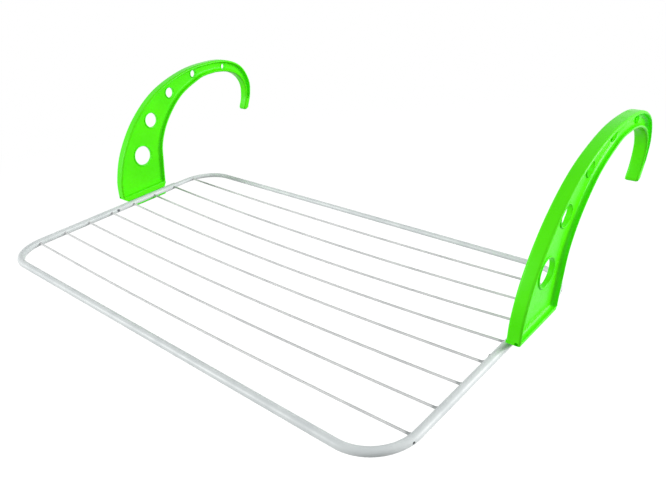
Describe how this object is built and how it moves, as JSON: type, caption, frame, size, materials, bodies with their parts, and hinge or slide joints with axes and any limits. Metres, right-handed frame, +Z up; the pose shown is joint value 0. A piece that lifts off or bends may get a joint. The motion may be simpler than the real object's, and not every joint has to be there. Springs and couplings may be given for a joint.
{
  "type": "hang-on drying rack",
  "caption": "Rectangular tube frame strung with thin drying rods, with two folding sickle-shaped hook arms that hang it on a balcony rail or radiator.",
  "frame": {"origin": "middle of the flat back face of the rear tube, which leans against the rail that the rack hangs on", "axes": "+X along the rods to the right, +Y level towards the rail, +Z up"},
  "size_m": [0.632, 0.4506, 0.1678],
  "materials": {
    "coated_steel": "smooth white coating, half gloss",
    "rod_steel": "smooth white coating, half gloss",
    "green_plastic": "moulded lime green, half gloss",
    "rivet_steel": "dull"
  },
  "bodies": {
    "frame": {"front_tube": "coated_steel", "rear_tube": "coated_steel", "rod_1": "rod_steel", "rod_2": "rod_steel", "rod_3": "rod_steel", "rod_4": "rod_steel", "rod_5": "rod_steel", "rod_6": "rod_steel", "rod_7": "rod_steel", "rod_8": "rod_steel", "left_rivet": "rivet_steel", "right_rivet": "rivet_steel"},
    "left_arm": {"left_arm": "green_plastic"},
    "right_arm": {"right_arm": "green_plastic"}
  },
  "joints": [
    {"name": "left_arm_fold", "type": "hinge", "parent": "frame", "child": "left_arm", "pos_m": [-0.3, -0.118, 0], "axis": [0, 1, 0], "range_deg": [0, 89]},
    {"name": "right_arm_fold", "type": "hinge", "parent": "frame", "child": "right_arm", "pos_m": [0.3, -0.118, 0], "axis": [0, -1, 0], "range_deg": [0, 89]}
  ]
}
